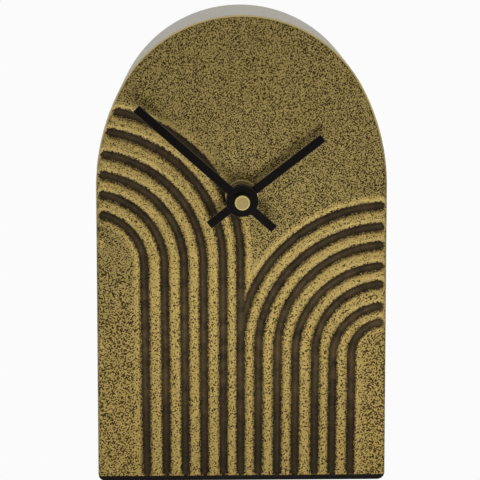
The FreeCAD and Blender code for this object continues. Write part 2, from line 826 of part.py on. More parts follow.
def make_battery():
    end = room_half - contact_thick
    start = end - battery_length
    along = vec(1, 0, 0)
    body = Part.makeCylinder(battery_radius, battery_length - battery_nub_length,
                             vec(start, battery_y, battery_z), along)
    body = body.makeFillet(battery_round, body.Edges)
    nub = Part.makeCylinder(battery_nub_radius, battery_nub_length + battery_round,
                            vec(end - battery_nub_length - battery_round, battery_y, battery_z),
                            along)
    save(body.fuse(nub), "battery")


def main():
    os.makedirs("parts", exist_ok=True)
    make_case_shell()
    make_back_plate()
    make_back_plate_screws()
    make_base_pad()
    make_dial_washer()
    make_bush_nut()
    make_threaded_bush()
    make_seal_gasket()
    make_hand("hour_hand", hour_hand_length, hour_hand_tail, hour_hand_angle,
              hour_hand_out, pipe_radius + hand_fit)
    make_hand("minute_hand", minute_hand_length, minute_hand_tail, minute_hand_angle,
              minute_hand_out, arbor_end_radius + hand_fit)
    make_hand_nut()
    make_minute_arbor()
    make_hour_wheel()
    make_motion_wheel()
    make_setting_knob()
    make_centre_wheel()
    make_third_wheel()
    make_seconds_wheel()
    make_first_wheel()
    make_rotor()
    make_stator()
    make_coil()
    make_movement_case()
    make_movement_cover()
    make_bridge_plate()
    make_circuit_board()
    make_contacts()
    make_battery()


main()
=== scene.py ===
import math

import bmesh
import bpy
from mathutils import Matrix, Vector, kdtree, noise
from mathutils.geometry import intersect_point_line


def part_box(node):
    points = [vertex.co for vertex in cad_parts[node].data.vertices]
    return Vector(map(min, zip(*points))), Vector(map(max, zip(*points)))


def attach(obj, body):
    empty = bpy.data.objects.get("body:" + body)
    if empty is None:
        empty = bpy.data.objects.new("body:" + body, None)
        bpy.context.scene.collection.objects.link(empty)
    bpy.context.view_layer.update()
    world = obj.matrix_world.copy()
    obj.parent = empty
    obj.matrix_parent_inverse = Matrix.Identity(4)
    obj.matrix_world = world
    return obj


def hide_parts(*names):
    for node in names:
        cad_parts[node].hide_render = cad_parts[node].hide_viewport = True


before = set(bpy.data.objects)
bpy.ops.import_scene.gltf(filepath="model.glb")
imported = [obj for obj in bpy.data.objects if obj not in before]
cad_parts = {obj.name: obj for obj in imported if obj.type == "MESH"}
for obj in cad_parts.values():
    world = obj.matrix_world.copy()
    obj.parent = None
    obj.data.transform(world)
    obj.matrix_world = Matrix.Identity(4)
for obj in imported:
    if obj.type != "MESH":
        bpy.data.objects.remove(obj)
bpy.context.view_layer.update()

mm = 0.001


# The casting: one sand-cast metal shell, front and side wall together, open at the back.
# Its front is plated with brass, darkened and rubbed back, so the dark stays in the grooves and
# pits. Along the foot that darkening is joined by painted shade. The side wall was left satin grey.
class Finish:
    """A surface finish: a material whose shader nodes are added one after another."""

    def __init__(self, name, metallic, roughness):
        self.material = bpy.data.materials.new(name)
        self.material.use_nodes = True
        self.shader = self.material.node_tree.nodes["Principled BSDF"]
        self.feed(self.shader, {"Metallic": metallic, "Roughness": roughness})
        place = self.add("TexCoord").outputs["Object"]
        self.place = self.add("VectorMath", {0: place, "Scale": 1 / mm}, operation="SCALE").outputs[0]

    def feed(self, node, inputs):
        """Sets a node's inputs to values, or joins them to other nodes' outputs."""
        for slot, value in inputs.items():
            if isinstance(value, bpy.types.NodeSocket):
                self.material.node_tree.links.new(value, node.inputs[slot])
            else:
                node.inputs[slot].default_value = value

    def add(self, kind, inputs=None, **settings):
        """A shader node of this kind, with its settings and inputs."""
        node = self.material.node_tree.nodes.new("ShaderNode" + kind)
        for name, value in settings.items():
            setattr(node, name, value)
        self.feed(node, inputs or {})
        return node

    def sum(self, operation, first, second=0.0, third=0.0):
        """The outcome of an operation on up to three numbers."""
        node = self.add("Math", {0: first, 1: second, 2: third}, operation=operation)
        return node.outputs[0]

    def across(self, axis):
        """The place along one axis, in millimetres."""
        return self.add("SeparateXYZ", {0: self.place}).outputs["XYZ".index(axis)]

    def grain(self, size, detail=2.0, rough=0.5, distortion=0.0, stretch=(1, 1, 1), shift=0.0):
        """Noise whose lumps are about this many millimetres across, its grid askew to the faces."""
        tilt = (0.5, 0.7, 0.3)
        moved = self.add("Mapping", {"Vector": self.place, "Location": (shift, shift, shift),
                                     "Rotation": tilt, "Scale": stretch}).outputs[0]
        node = self.add("TexNoise", {"Vector": moved, "Scale": 1 / size, "Detail": detail,
                                     "Roughness": rough, "Distortion": distortion})
        return node.outputs["Fac"]

    def from_axis(self, x, z):
        """Distance in millimetres from an axis along Y."""
        flat = self.add("VectorMath", {0: self.place, 1: (1, 0, 1)}, operation="MULTIPLY").outputs[0]
        node = self.add("VectorMath", {0: flat, 1: (x / mm, 0, z / mm)}, operation="DISTANCE")
        return node.outputs["Value"]

    def rings(self, radius, pitch):
        """The fine rings that a lathe tool leaves, about this many millimetres apart."""
        node = self.add("TexNoise", {"W": radius, "Scale": 1 / pitch, "Detail": 3.0},
                        noise_dimensions="1D")
        return node.outputs["Fac"]

    def step(self, value, low, high, start=0.0, end=1.0):
        """Turns smoothly from start to end while the value goes from low to high."""
        inputs = {"Value": value, "From Min": low, "From Max": high, "To Min": start, "To Max": end}
        return self.add("MapRange", inputs, interpolation_type="SMOOTHSTEP").outputs[0]

    def blend(self, share, first, second):
        """Colour that goes from the first to the second as the share goes from 0 to 1."""
        node = self.add("Mix", {0: share, 6: first, 7: second}, data_type="RGBA")
        return node.outputs[2]

    def colour(self, value):
        """Gives the finish its colour."""
        self.feed(self.shader, {"Base Color": value})

    def relief(self, height, depth, strength=1.0):
        """Fine relief of this depth in millimetres, too small to be modelled."""
        bump = self.add("Bump", {"Height": height, "Distance": depth * mm, "Strength": strength})
        self.feed(self.shader, {"Normal": bump.outputs[0]})


def paint(red, green, blue):
    """Colour as seen, each part from 0 to 255, in the shader's linear values."""
    parts = [part / 255 for part in (red, green, blue)]
    linear = [part / 12.92 if part < 0.04045 else ((part + 0.055) / 1.055) ** 2.4 for part in parts]
    return (*linear, 1.0)


crease = math.radians(30)
weld_slack = 0.002 * mm
cut_slack = 0.03 * mm


def welded(node):
    """A copy of a CAD node's mesh, with its triangles joined, to be worked on."""
    body = bmesh.new()
    body.from_mesh(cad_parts[node].data)
    bmesh.ops.remove_doubles(body, verts=body.verts, dist=weld_slack)
    return body


def cut_across(body, faces, axis, pitch, low, high):
    """Cuts faces across an axis at an even pitch, so that they can be shaped and marked.

    Its parts are gathered in dicts, whose order is the same in each run.
    """
    normal = Vector([float(letter == axis) for letter in "XYZ"])
    steps = math.ceil((high - low) / pitch)
    edges = dict.fromkeys(edge for face in faces for edge in face.edges)
    verts = dict.fromkeys(vert for face in faces for vert in face.verts)
    geometry = [*verts, *edges, *faces]
    for step in range(1, steps):
        cut = bmesh.ops.bisect_plane(body, geom=geometry, dist=cut_slack, plane_no=normal,
                                     plane_co=normal * (low + step * (high - low) / steps))
        geometry = cut["geom"]


def finished(body, name, finish, on, stands_for, sharp_above=crease):
    """Makes a worked mesh a piece of the clock that rides on a CAD body."""
    mesh = bpy.data.meshes.new(name)
    body.to_mesh(mesh)
    body.free()
    mesh.materials.append(finish.material)
    mesh.shade_smooth()
    mesh.set_sharp_from_angle(angle=sharp_above)
    piece = bpy.data.objects.new(name, mesh)
    bpy.context.scene.collection.objects.link(piece)
    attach(piece, on)
    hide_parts(*stands_for)
    return piece


case_low, case_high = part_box("case_shell")
washer_low, washer_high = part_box("dial_washer")
face_y = case_low.y
face_at = face_y / mm
axis_x = (washer_low.x + washer_high.x) / 2
axis_z = (washer_low.z + washer_high.z) / 2
hole_reach = 4.6 * mm
grid_pitch = 2.0 * mm
flat_slack = 0.02 * mm
edge_slack = 0.4 * mm
edge_round = 1.8 * mm
far_from_groove = 12.0
edges_to_try = 4

casting = welded("case_shell")
distance_mark = casting.verts.layers.float.new("from_groove")
rise_mark = casting.verts.layers.float.new("above_groove")


def on_face(part):
    """Whether an edge or a face of the casting lies in the flat of its front."""
    return all(vert.co.y < face_y + flat_slack for vert in part.verts)


for cut_axis in "XZ":
    flat_faces = [face for face in casting.faces if on_face(face)]
    place_along = "XYZ".index(cut_axis)
    cut_across(casting, flat_faces, cut_axis, grid_pitch, case_low[place_along], case_high[place_along])


def is_groove_edge(edge):
    """Whether an edge is one where the flat of the front meets a groove."""
    if edge.calc_face_angle() < crease:
        return False
    return all(vert.co.y < face_y + edge_slack
               and math.hypot(vert.co.x - axis_x, vert.co.z - axis_z) > hole_reach
               for vert in edge.verts)


groove_edges = [edge for edge in casting.edges if is_groove_edge(edge)]
near_edges = kdtree.KDTree(2 * len(groove_edges))
for index, edge in enumerate(groove_edges):
    for vert in edge.verts:
        near_edges.insert(vert.co, index)
near_edges.balance()


def nearest_groove_edge(place):
    """Distance from a place to the nearest edge of a groove, and how far up it lies from there."""
    nearest = far_from_groove * mm
    rise = 0.0
    for _, index, _ in near_edges.find_n(place, edges_to_try):
        start, end = (vert.co for vert in groove_edges[index].verts)
        _, share = intersect_point_line(place, start, end)
        away = place - start.lerp(end, min(max(share, 0.0), 1.0))
        if away.length < nearest:
            nearest = away.length
            rise = away.normalized().z
    return nearest, rise


in_grooves = set()
waiting = [face for edge in groove_edges if any(on_face(face) for face in edge.link_faces)
           for face in edge.link_faces if not on_face(face)]
bounds_of_grooves = set(groove_edges)
while waiting:
    face = waiting.pop()
    if face not in in_grooves:
        in_grooves.add(face)
        waiting.extend(other for edge in face.edges if edge not in bounds_of_grooves
                       for other in edge.link_faces if other not in in_grooves)
groove_verts = {vert for face in in_grooves for vert in face.verts}

for vert in casting.verts:
    vert[distance_mark] = far_from_groove
    if vert.co.y < face_y + edge_round + flat_slack:
        side = -1 if vert in groove_verts else 1
        distance, rise = nearest_groove_edge(vert.co)
        vert[distance_mark] = side * distance / mm
        vert[rise_mark] = rise
for vert in dict.fromkeys(vert for edge in groove_edges for vert in edge.verts):
    beside = [edge.other_vert(vert) for edge in vert.link_edges]
    rises = [other[rise_mark] for other in beside if other not in groove_verts]
    vert[rise_mark] = sum(rises) / max(len(rises), 1)

relief_depth = 0.10 * mm
relief_size = 9.0 * mm
relief_margin = 1.0
washer_reach = 9.4 * mm
flat_verts = [vert for vert in casting.verts
              if on_face(vert.link_faces[0]) and vert[distance_mark] > relief_margin
              and math.hypot(vert.co.x - axis_x, vert.co.z - axis_z) > washer_reach]
for vert in flat_verts:
    vert.co.y += relief_depth * (0.5 + 0.5 * noise.noise(vert.co / relief_size))

finish_of_case = Finish("antique_brass_casting", 0.45, 0.55)
f = finish_of_case
from_groove = f.add("Attribute", attribute_name="from_groove").outputs["Fac"]
above_groove = f.add("Attribute", attribute_name="above_groove").outputs["Fac"]
x, y, z = (f.across(axis) for axis in "XYZ")
fringe = f.step(f.grain(0.85, 1.5, 0.55), 0.36, 0.64, -0.85, 0.85)
groove = f.step(f.sum("ADD", from_groove, fringe), -0.1, 0.1, 1.0, 0.0)
high_up = f.step(z, 20.0, 150.0)
on_field = f.step(from_groove, 2.0, 5.0)
low_down = f.step(z, 90.0, 150.0, 1.0, 0.0)
# Dark pits, more of them on the open flat than between the grooves.
patches = f.grain(6.0, 3, 0.6)
pits = f.add("Mix", {0: low_down, 2: f.grain(0.64, 0.5), 3: f.grain(0.82, 0.5, shift=20)}).outputs[0]
pit_level = f.step(patches, 0.3, 0.7, 0.61, 0.57)
more_pits = f.sum("MULTIPLY", on_field, f.step(high_up, 0.0, 1.0, 0.065, 0.058))
pit_level = f.sum("SUBTRACT", pit_level, more_pits)
pit = f.step(f.sum("SUBTRACT", pits, pit_level), -0.03, 0.045)
# Brass in bright and dull patches, duller away from the grooves, and darker up the face, which is
# painted shade.
dull_field_and_painted_shade = f.sum("MULTIPLY", high_up, f.step(from_groove, 1.5, 4.5, 0.05, 1.0))
bright = f.blend(dull_field_and_painted_shade, paint(166, 144, 84), paint(141, 124, 74))
dull = f.blend(dull_field_and_painted_shade, paint(147, 125, 68), paint(124, 108, 61))
brass = f.blend(f.step(f.grain(0.9, 2, 0.6, shift=40), 0.35, 0.65), bright, dull)
pit_colour = f.blend(dull_field_and_painted_shade, paint(58, 45, 19), paint(46, 36, 7))
face_colour = f.blend(pit, brass, pit_colour)
# The rubbed rim of each groove, with a painted highlight above the groove and painted shade below it.
rim = f.step(f.sum("ADD", from_groove, fringe), 0.0, 0.8, 0.45, 0.0)
face_colour = f.blend(rim, face_colour, f.blend(dull_field_and_painted_shade, paint(184, 161, 98), paint(178, 158, 102)))
lip_reach = f.step(f.sum("ADD", from_groove, f.sum("MULTIPLY", fringe, 0.5)), 0.2, 2.4, 1.0, 0.0)
# Painted highlight above each groove and painted shade below it.
painted_highlight_above_groove = f.sum("MULTIPLY", lip_reach, f.step(above_groove, 0.25, 0.9, 0.0, 0.8))
face_colour = f.blend(painted_highlight_above_groove, face_colour, paint(200, 177, 112))
painted_shade_below_groove = f.sum("MULTIPLY", lip_reach, f.step(above_groove, -0.9, -0.25, 0.45, 0.0))
face_colour = f.blend(painted_shade_below_groove, face_colour, paint(96, 80, 44))
# A painted highlight along the top of the arch's edge, and dirt with painted shade down the edge on the
# right.
front_edge = f.sum("ADD", y, f.step(f.grain(1.2, 2, 0.6, shift=70), 0.3, 0.7, -0.25, 0.25))
# Painted highlight: a light line along the front edge at the top of the arch.
painted_arch_highlight = f.sum("MULTIPLY", f.step(y, face_at + 0.15, face_at + 0.55), f.step(z, 150.0, 200.0))
face_colour = f.blend(painted_arch_highlight, face_colour, paint(200, 180, 124))
# Dirt with painted shade: broken darkening along the edge on the right.
right_edge_dirt_and_shade = f.sum("MULTIPLY", f.step(front_edge, face_at + 0.7, face_at + 1.1), f.step(x, 68.0, 73.0))
right_edge_dirt_and_shade = f.sum("MULTIPLY", right_edge_dirt_and_shade, f.step(f.grain(2.4, 3, 0.6, shift=55), 0.42, 0.52))
face_colour = f.blend(right_edge_dirt_and_shade, face_colour, paint(50, 42, 26))
# The grooves, nearly black with brown stains, and the dark line along the foot, darkened brass with
# painted shade.
stain_most = f.sum("MINIMUM", f.step(z, 20.0, 65.0, 0.25, 0.9), f.step(z, 90.0, 130.0, 0.9, 0.5))
stain = f.step(f.grain(7.0, 5, 0.65, shift=90), 0.3, 0.68, 0.0, stain_most)
groove_grain = f.step(f.grain(0.8, 2, 0.6, shift=30), 0.35, 0.65)
groove_colour = f.blend(groove_grain, paint(33, 27, 17), paint(52, 43, 28))
groove_colour = f.blend(stain, groove_colour, paint(80, 66, 43))
face_colour = f.blend(groove, face_colour, groove_colour)
# Painted shade with the darkened brass: a near-black line along the foot.
foot_darkening_and_shade = f.step(f.sum("ADD", z, f.sum("MULTIPLY", fringe, 0.1)), 4.4, 4.8)
face_colour = f.blend(foot_darkening_and_shade, paint(20, 17, 14), face_colour)
# The satin grey wall, from just behind the front's rounded edge.
wall_grain = f.step(f.grain(0.7, 2, 0.6, shift=10), 0.3, 0.7)
wall_colour = f.blend(wall_grain, paint(172, 168, 156), paint(198, 194, 181))
wall_start = f.sum("ADD", front_edge, f.step(x, -70.0, -40.0, 0.7, 0.0))
behind = f.step(wall_start, face_at + 1.4, face_at + 1.9)
behind = f.sum("MULTIPLY", behind, f.step(from_groove, -0.3, 0.1))
f.colour(f.blend(behind, face_colour, wall_colour))
f.feed(f.shader, {"Specular IOR Level": 0.1})
lip = f.step(from_groove, -0.6, 1.7)
f.relief(f.sum("SUBTRACT", f.sum("MULTIPLY", lip, 4.0), pit), 0.12)

raw_casting = Finish("raw_casting", 0.3, 0.75)
f = raw_casting
f.colour(f.blend(f.step(f.grain(3.0, 4, 0.65), 0.35, 0.65), paint(158, 156, 149), paint(186, 183, 175)))
f.relief(f.grain(0.8, 3, 0.6), 0.25)

# The faces in the hollow stay raw.
inside_from = face_y + 2.5 * mm
rim_from = case_high.y - 1.3 * mm
floor_to = case_low.z + 12.0 * mm
arch_centre_z = case_high.z - case_high.x
mostly = 0.5
for face in casting.faces:
    middle = face.calc_center_median()
    outwards = Vector((middle.x, 0.0, max(middle.z - arch_centre_z, 0.0)))
    looks_in = face.normal.dot(outwards) < 0 and abs(face.normal.y) < mostly
    back_of_front = face.normal.y > mostly and middle.y < rim_from
    top_of_floor = face.normal.z > mostly and middle.z < floor_to
    if middle.y > inside_from and (looks_in or back_of_front or top_of_floor):
        face.material_index = 1

front_casting = finished(casting, "cast_case", finish_of_case, "clock_case",
                         ["case_shell"])
front_casting.data.materials.append(raw_casting.material)

# The flat walls of the hollow are shaded flat, so that its rounded corners don't tint them.
square_on = 0.999
for face in front_casting.data.polygons:
    if face.material_index == 1 and max(abs(part) for part in face.normal) > square_on:
        face.use_smooth = False


# Felt pad: a die-cut sheet of dark wool felt, 1.2 mm thick, glued under the foot of the casting
# so that the clock doesn't scratch what it stands on. Its cut edge is slightly fuzzy and rounded.
same_plane = math.radians(1)
sharp_from = math.radians(50)


def softened(node, width, segments):
    """A copy of a CAD node whose sharp edges are rounded a little."""
    body = welded(node)
    bmesh.ops.dissolve_limit(body, angle_limit=same_plane, verts=body.verts, edges=body.edges)
    sharp = [edge for edge in body.edges if edge.calc_face_angle(0.0) > sharp_from]
    bmesh.ops.bevel(body, geom=sharp, offset=width, segments=segments, profile=0.5, affect="EDGES",
                    material=-1, clamp_overlap=True)
    return body


felt_low, felt_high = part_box("base_pad")
felt_pitch = 2.5 * mm
felt_round = 0.35 * mm
fuzz_depth = 0.18 * mm
fuzz_size = 1.6 * mm
flat_rim = 0.1 * mm

felt = softened("base_pad", felt_round, 3)
cut_across(felt, felt.faces[:], "X", felt_pitch, felt_low.x, felt_high.x)
cut_across(felt, felt.faces[:], "Y", felt_pitch, felt_low.y, felt_high.y)
for vert in felt.verts:
    if felt_low.z + flat_rim < vert.co.z < felt_high.z - flat_rim:
        pull = 1 - fuzz_depth * (0.5 + 0.5 * noise.noise(vert.co / fuzz_size)) / felt_high.y
        vert.co.x *= pull
        vert.co.y *= pull

wool = Finish("wool_felt", 0.0, 0.95)
f = wool
fibres = f.grain(0.35, 4, 0.7, 1.5)
f.colour(f.blend(f.step(fibres, 0.3, 0.7), paint(18, 17, 16), paint(40, 38, 36)))
f.feed(f.shader, {"Sheen Weight": 0.3, "Sheen Roughness": 0.6, "Specular IOR Level": 0.1})
f.relief(fibres, 0.15)
felt_pad = finished(felt, "felt_pad", wool, "clock_case", ["base_pad"])


# Movement housing: two black ABS mouldings, the case with its battery bay and the cover that
# snaps over the gear train, with the fluted setting knob of the same plastic. Spark-eroded
# moulds leave a fine matt grain.
def dress(finish, *nodes):
    """Gives CAD nodes a finish."""
    for node in nodes:
        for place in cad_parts[node].material_slots:
            place.material = finish.material


moulded = Finish("black_moulding", 0.0, 0.5)
f = moulded
spark = f.grain(0.3, 3, 0.6)
f.colour(f.blend(f.step(f.grain(5.0, 3, 0.6), 0.35, 0.65), paint(34, 34, 35), paint(44, 44, 45)))
f.feed(f.shader, {"Roughness": f.step(spark, 0.3, 0.7, 0.42, 0.58), "Specular IOR Level": 0.35})
f.relief(spark, 0.03)
dress(moulded, "movement_case", "movement_cover", "setting_knob")


# Marks on the cover: raised in the moulding, a blank sunk panel's border, a curved arrow each way
# round the setting knob, and the battery's plus and minus signs beside its ends.
knob_low, knob_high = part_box("setting_knob")
cover_low, cover_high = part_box("movement_cover")
cell_low, cell_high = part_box("battery")
knob_radius = 5.0 * mm
knob_place = Vector((knob_low.x + knob_radius, 0, knob_high.z - knob_radius))
mark_sunk = 0.05 * mm
mark_proud = 0.35 * mm
mark_width = 0.7 * mm
arrow_radius = 7.2 * mm
arrow_half_turn = math.radians(55)
arrow_steps = 14
arrow_start = 0.15
bar_overlap = 1.3
arrow_head = 1.3 * mm
sign_length = 3.2 * mm
sign_inset = 3.2 * mm
sign_gap = 1.6 * mm
panel_size = Vector((17.0, 0, 11.0)) * mm
panel_place = Vector((13.0, 0, 167.0)) * mm
mark_front = cover_high.y - mark_sunk
mark_back = cover_high.y + mark_proud
marks = bmesh.new()


def raised_bar(x, z, width, height, turn=0.0):
    """A straight raised bar on the cover, centred on x and z."""
    made = bmesh.ops.create_cube(marks, size=1.0)["verts"]
    bmesh.ops.scale(marks, verts=made, vec=(width, mark_back - mark_front, height))
    bmesh.ops.rotate(marks, verts=made, matrix=Matrix.Rotation(turn, 3, "Y"))
    bmesh.ops.translate(marks, verts=made, vec=(x, (mark_front + mark_back) / 2, z))


def raised_arrow_head(x, z, turn):
    """A raised triangle whose point looks along X before it is turned."""
    made = bmesh.ops.create_cone(marks, cap_ends=True, segments=3, radius1=arrow_head,
                                 radius2=arrow_head, depth=mark_back - mark_front)["verts"]
    bmesh.ops.rotate(marks, verts=made, matrix=Matrix.Rotation(math.radians(-90), 3, "X"))
    bmesh.ops.rotate(marks, verts=made, matrix=Matrix.Rotation(turn, 3, "Y"))
    bmesh.ops.translate(marks, verts=made, vec=(x, (mark_front + mark_back) / 2, z))


def on_arrow(angle):
    """The place on the curved arrows at an angle from X."""
    return knob_place.x + arrow_radius * math.cos(angle), knob_place.z + arrow_radius * math.sin(angle)


bar_length = bar_overlap * arrow_radius * arrow_half_turn / arrow_steps
for side in (-1, 1):
    for step in range(arrow_steps):
        share = arrow_start + (1 - arrow_start) * step / arrow_steps
        angle = math.radians(90) + side * arrow_half_turn * share
        raised_bar(*on_arrow(angle), mark_width, bar_length, -angle)
    angle = math.radians(90) + side * arrow_half_turn
    raised_arrow_head(*on_arrow(angle), -angle if side == 1 else math.radians(180) - angle)
plus_x = cell_high.x - sign_inset
minus_x = cell_low.x + sign_inset
sign_z = cover_low.z + sign_gap + sign_length / 2
raised_bar(plus_x, sign_z, sign_length, mark_width)
raised_bar(plus_x, sign_z, mark_width, sign_length)
raised_bar(minus_x, sign_z, sign_length, mark_width)
border_width = panel_size.x + mark_width
border_height = panel_size.z + mark_width
for side in (-1, 1):
    raised_bar(panel_place.x + side * panel_size.x / 2, panel_place.z, mark_width, border_height)
    raised_bar(panel_place.x, panel_place.z + side * panel_size.z / 2, border_width, mark_width)
finished(marks, "cover_marks", moulded, "clock_case", [])


# Seal: a thin ring of black rubber, clamped between the housing and the inside of the front wall
# by the nut on the threaded bush. Its dull surface has a faint bloom.
rubber = Finish("seal_rubber", 0.0, 0.8)
f = rubber
f.colour(f.blend(f.step(f.grain(1.8, 3, 0.6), 0.35, 0.65), paint(22, 22, 22), paint(40, 39, 37)))
f.relief(f.grain(0.4, 2, 0.5), 0.05)
dress(rubber, "seal_gasket")


# Stepping motor: a stator plate and core of bare electrical steel, a bobbin of natural nylon
# wound with enamelled copper wire, and a pressed ferrite magnet on the rotor.
steel_sheet = Finish("electrical_steel", 0.8, 0.45)
f = steel_sheet
rolled = f.grain(0.5, 3, 0.6, stretch=(0.1, 1, 1))
f.colour(f.blend(f.step(rolled, 0.3, 0.7), paint(138, 138, 136), paint(160, 160, 158)))
f.relief(rolled, 0.02)
dress(steel_sheet, "stator", "coil_core")

nylon = Finish("natural_nylon", 0.0, 0.45)
f = nylon
f.colour(f.blend(f.step(f.grain(2.5, 2, 0.5), 0.3, 0.7), paint(222, 216, 196), paint(232, 227, 210)))
f.relief(f.grain(0.3, 2, 0.5), 0.02)
dress(nylon, "coil_bobbin")

wire_pitch = 0.12
copper = Finish("enamelled_copper", 0.75, 0.35)
f = copper
turns = f.sum("SINE", f.sum("MULTIPLY", f.across("X"), 2 * math.pi / wire_pitch))
f.colour(f.blend(f.step(turns, -1.0, 1.0), paint(150, 78, 44), paint(192, 112, 68)))
f.relief(turns, 0.03)
dress(copper, "coil_winding")

ferrite = Finish("pressed_ferrite", 0.1, 0.6)
f = ferrite
f.colour(f.blend(f.step(f.grain(0.4, 3, 0.6), 0.3, 0.7), paint(52, 51, 50), paint(66, 65, 64)))
f.relief(f.grain(0.25, 2, 0.5), 0.02)
dress(ferrite, "rotor_magnet")


# Train: small wheels moulded in white acetal, each with its pinion in one shot, and the bridge
# plate of the same resin that holds their rear pivots. Acetal is faintly waxy.
acetal = Finish("white_acetal", 0.0, 0.4)
f = acetal
f.colour(f.blend(f.step(f.grain(3.0, 2, 0.5), 0.3, 0.7), paint(226, 225, 218), paint(236, 235, 230)))
f.relief(f.grain(0.25, 2, 0.5), 0.01)
dress(acetal, "first_wheel", "seconds_wheel", "third_wheel", "centre_wheel", "motion_wheel",
      "hour_wheel", "rotor_pinion", "bridge_plate")


# Electronics: a small laminate board with a black potted timing chip on it and the watch crystal
# in its drawn steel can.
laminate = Finish("board_laminate", 0.0, 0.5)
f = laminate
weave_pitch = 0.8
warp = f.sum("SINE", f.sum("MULTIPLY", f.across("X"), 2 * math.pi / weave_pitch))
weft = f.sum("SINE", f.sum("MULTIPLY", f.across("Z"), 2 * math.pi / weave_pitch))
f.colour(f.blend(f.step(f.sum("MULTIPLY", warp, weft), -1, 1), paint(128, 104, 58), paint(142, 118, 70)))
dress(laminate, "circuit_board")

potting = Finish("chip_potting", 0.0, 0.35)
f = potting
f.colour(f.blend(f.step(f.grain(0.5, 2, 0.5), 0.3, 0.7), paint(20, 20, 20), paint(28, 28, 28)))
f.relief(f.grain(0.9, 2, 0.5), 0.04)
dress(potting, "timing_chip")

tinned = Finish("tinned_steel", 0.9, 0.3)
f = tinned
drawn = f.grain(0.4, 3, 0.6, stretch=(1, 1, 0.15))
f.colour(f.blend(f.step(drawn, 0.3, 0.7), paint(176, 176, 172), paint(198, 198, 195)))
f.relief(drawn, 0.01)
dress(tinned, "quartz_crystal")


# Battery contacts: bent from nickel-plated spring strip, one flat and one with a springy tongue.
# The plating is bright with fine rolling lines.
nickel = Finish("nickel_strip", 0.95, 0.25)
f = nickel
rolled = f.grain(0.3, 3, 0.6, stretch=(1, 1, 0.1))
f.colour(f.blend(f.step(rolled, 0.3, 0.7), paint(188, 184, 174), paint(208, 205, 196)))
f.relief(rolled, 0.01)
dress(nickel, "positive_contact", "negative_contact")


# Battery: an ordinary AA cell. A printed plastic sleeve is shrunk over a nickel-plated can, which
# shows at both ends. The sleeve is plain grey-green with a pale band and bare polarity signs.
cell_middle = (cell_low + cell_high) / 2
sleeve_start = cell_low.x / mm + 1.0
sleeve_end = cell_high.x / mm - 2.0
band_width = 9.0
print_edge = 0.1
thin = 0.45
tall = 2.2
sleeve = Finish("cell_sleeve", 0.0, 0.35)
f = sleeve
along = f.across("X")
up = f.sum("SUBTRACT", f.across("Z"), cell_middle.z / mm)


def sign_bar(at, half_length, half_height):
    """A mask for a straight bar of a printed sign, centred on a place along the cell."""
    from_middle = f.sum("ABSOLUTE", f.sum("SUBTRACT", along, at))
    beside = f.step(from_middle, half_length, half_length + print_edge, 1, 0)
    within = f.step(f.sum("ABSOLUTE", up), half_height, half_height + print_edge, 1, 0)
    return f.sum("MULTIPLY", beside, within)


plus_at = sleeve_end - band_width / 2
minus_at = sleeve_start + band_width / 2
plus = f.sum("MAXIMUM", sign_bar(plus_at, tall, thin), sign_bar(plus_at, thin, tall))
minus = sign_bar(minus_at, thin, tall)
speckle = f.grain(1.0, 2, 0.5)
body_colour = f.blend(speckle, paint(70, 92, 88), paint(82, 104, 99))
band_colour = f.blend(speckle, paint(206, 203, 190), paint(218, 215, 203))
band = f.step(along, sleeve_end - band_width, sleeve_end - band_width + print_edge)
printed = f.blend(band, body_colour, band_colour)
printed = f.blend(plus, printed, paint(40, 44, 44))
printed = f.blend(minus, printed, paint(214, 211, 199))
bare_end = f.sum("MAXIMUM", f.step(along, sleeve_start, sleeve_start + print_edge, 1, 0),
                 f.step(along, sleeve_end, sleeve_end + print_edge))
f.colour(f.blend(bare_end, printed, paint(186, 184, 178)))
f.feed(f.shader, {"Metallic": bare_end})
f.relief(speckle, 0.02)
dress(sleeve, "battery")


# Brass turnings: the threaded bush that comes through the front, the minute arbor, the round
# washer on the face and the hexagon nut on it. The nut and washer are painted dark, a painted shade
# under the hands, with a painted highlight on the washer's outer edge.
turned = Finish("turned_brass", 0.7, 0.4)
f = turned
tool_marks = f.rings(f.from_axis(axis_x, axis_z), 0.25)
f.colour(f.blend(f.step(tool_marks, 0.3, 0.7), paint(162, 140, 78), paint(182, 160, 98)))
f.relief(tool_marks, 0.02)
dress(turned, "threaded_bush", "minute_arbor")

washer_round = washer_high.x / mm
painted_shade_brass = Finish("brass_with_painted_shade", 0.5, 0.5)
f = painted_shade_brass
radius = f.from_axis(axis_x, axis_z)
tool_marks = f.rings(radius, 0.3)
worn = f.step(f.grain(0.9, 3, 0.6), 0.3, 0.7)
# Painted shade: the nut and washer are painted a dark olive brass.
painted_shade_brass_colour = f.blend(worn, paint(98, 90, 48), paint(128, 116, 66))
# Painted highlight: a light line on the washer's outer edge.
washer_edge_highlight = f.step(radius, washer_round - 0.6, washer_round - 0.2)
f.colour(f.blend(washer_edge_highlight, painted_shade_brass_colour, paint(196, 178, 118)))
f.relief(tool_marks, 0.02)
dress(painted_shade_brass, "dial_washer", "bush_nut")


# Hands: stamped from thin aluminium sheet and painted matt black, with square ends and round
# hubs. The stamping leaves a slightly rounded edge, which is given a painted highlight as a fine light
# line.
hand_edge = 0.12 * mm
hand_paint = Finish("matt_black_paint", 0.0, 0.6)
f = hand_paint
spray = f.grain(0.35, 3, 0.6)
black = f.blend(f.step(spray, 0.3, 0.7), paint(7, 5, 3), paint(13, 10, 7))
facing = f.add("SeparateXYZ", {0: f.add("NewGeometry").outputs["Normal"]}).outputs["Y"]
